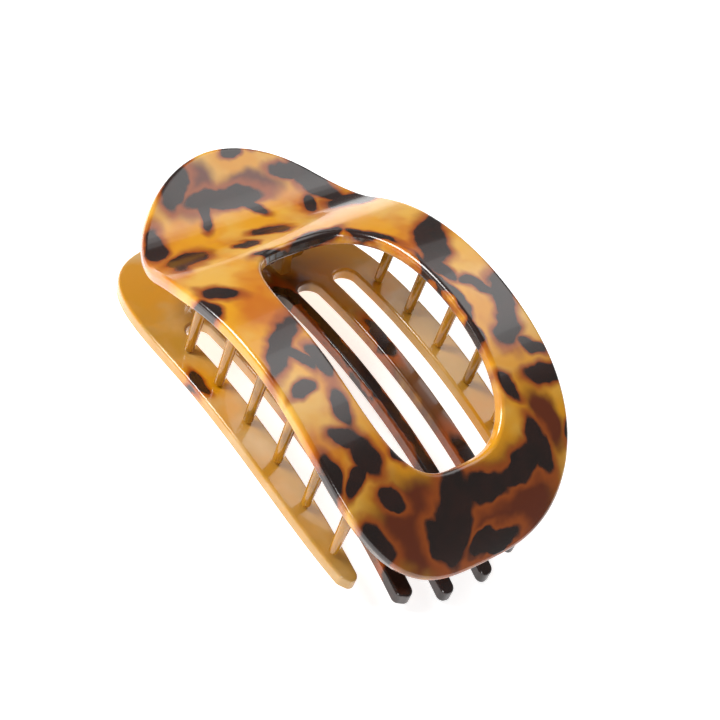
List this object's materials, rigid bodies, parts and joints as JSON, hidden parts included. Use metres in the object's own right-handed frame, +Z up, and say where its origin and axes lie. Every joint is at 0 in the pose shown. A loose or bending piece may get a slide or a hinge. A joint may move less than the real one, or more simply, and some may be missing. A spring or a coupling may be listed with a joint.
{
  "type": "claw clip",
  "caption": "Sprung hair claw clip: an arched ring jaw with an oval opening and a thumb tab, hanging pegs, and a curved comb jaw hinged under it on a steel pin.",
  "frame": {"origin": "On the resting plane under the middle of the closed clip's length and width.", "axes": "+X runs from the thumb tab to the nose, +Y to the clip's left side, +Z up from the comb jaw to the ring jaw."},
  "size_m": [0.108, 0.0634, 0.0374],
  "materials": {
    "upper_tortoise": "through-coloured tortoise sheet, amber with dark brown blotches, polished",
    "lower_tortoise": "through-coloured tortoise sheet, amber and brown, polished",
    "peg_amber": "amber plastic rod, polished",
    "lug_amber": "amber plastic, polished",
    "pin_steel": "plain bright steel",
    "spring_steel": "plated spring wire"
  },
  "bodies": {
    "lower": {"lower_jaw": "lower_tortoise", "lower_lug_left": "lug_amber", "lower_lug_right": "lug_amber", "hinge_pin": "pin_steel", "pin_cap": "pin_steel", "torsion_spring": "spring_steel"},
    "upper": {"upper_jaw": "upper_tortoise", "left_peg_1": "peg_amber", "left_peg_2": "peg_amber", "left_peg_3": "peg_amber", "left_peg_4": "peg_amber", "left_peg_5": "peg_amber", "left_peg_6": "peg_amber", "right_peg_1": "peg_amber", "right_peg_2": "peg_amber", "right_peg_3": "peg_amber", "right_peg_4": "peg_amber", "right_peg_5": "peg_amber", "right_peg_6": "peg_amber", "upper_lug_left": "lug_amber", "upper_lug_right": "lug_amber"}
  },
  "joints": [
    {"name": "jaw_hinge", "type": "hinge", "parent": "lower", "child": "upper", "pos_m": [-0.03238, 0, 0.01529], "axis": [0, -1, 0], "range_deg": [0, 36], "stiffness_Nm_per_rad": 0.28, "springref_deg": -24.64, "deforming": ["torsion_spring"]}
  ]
}
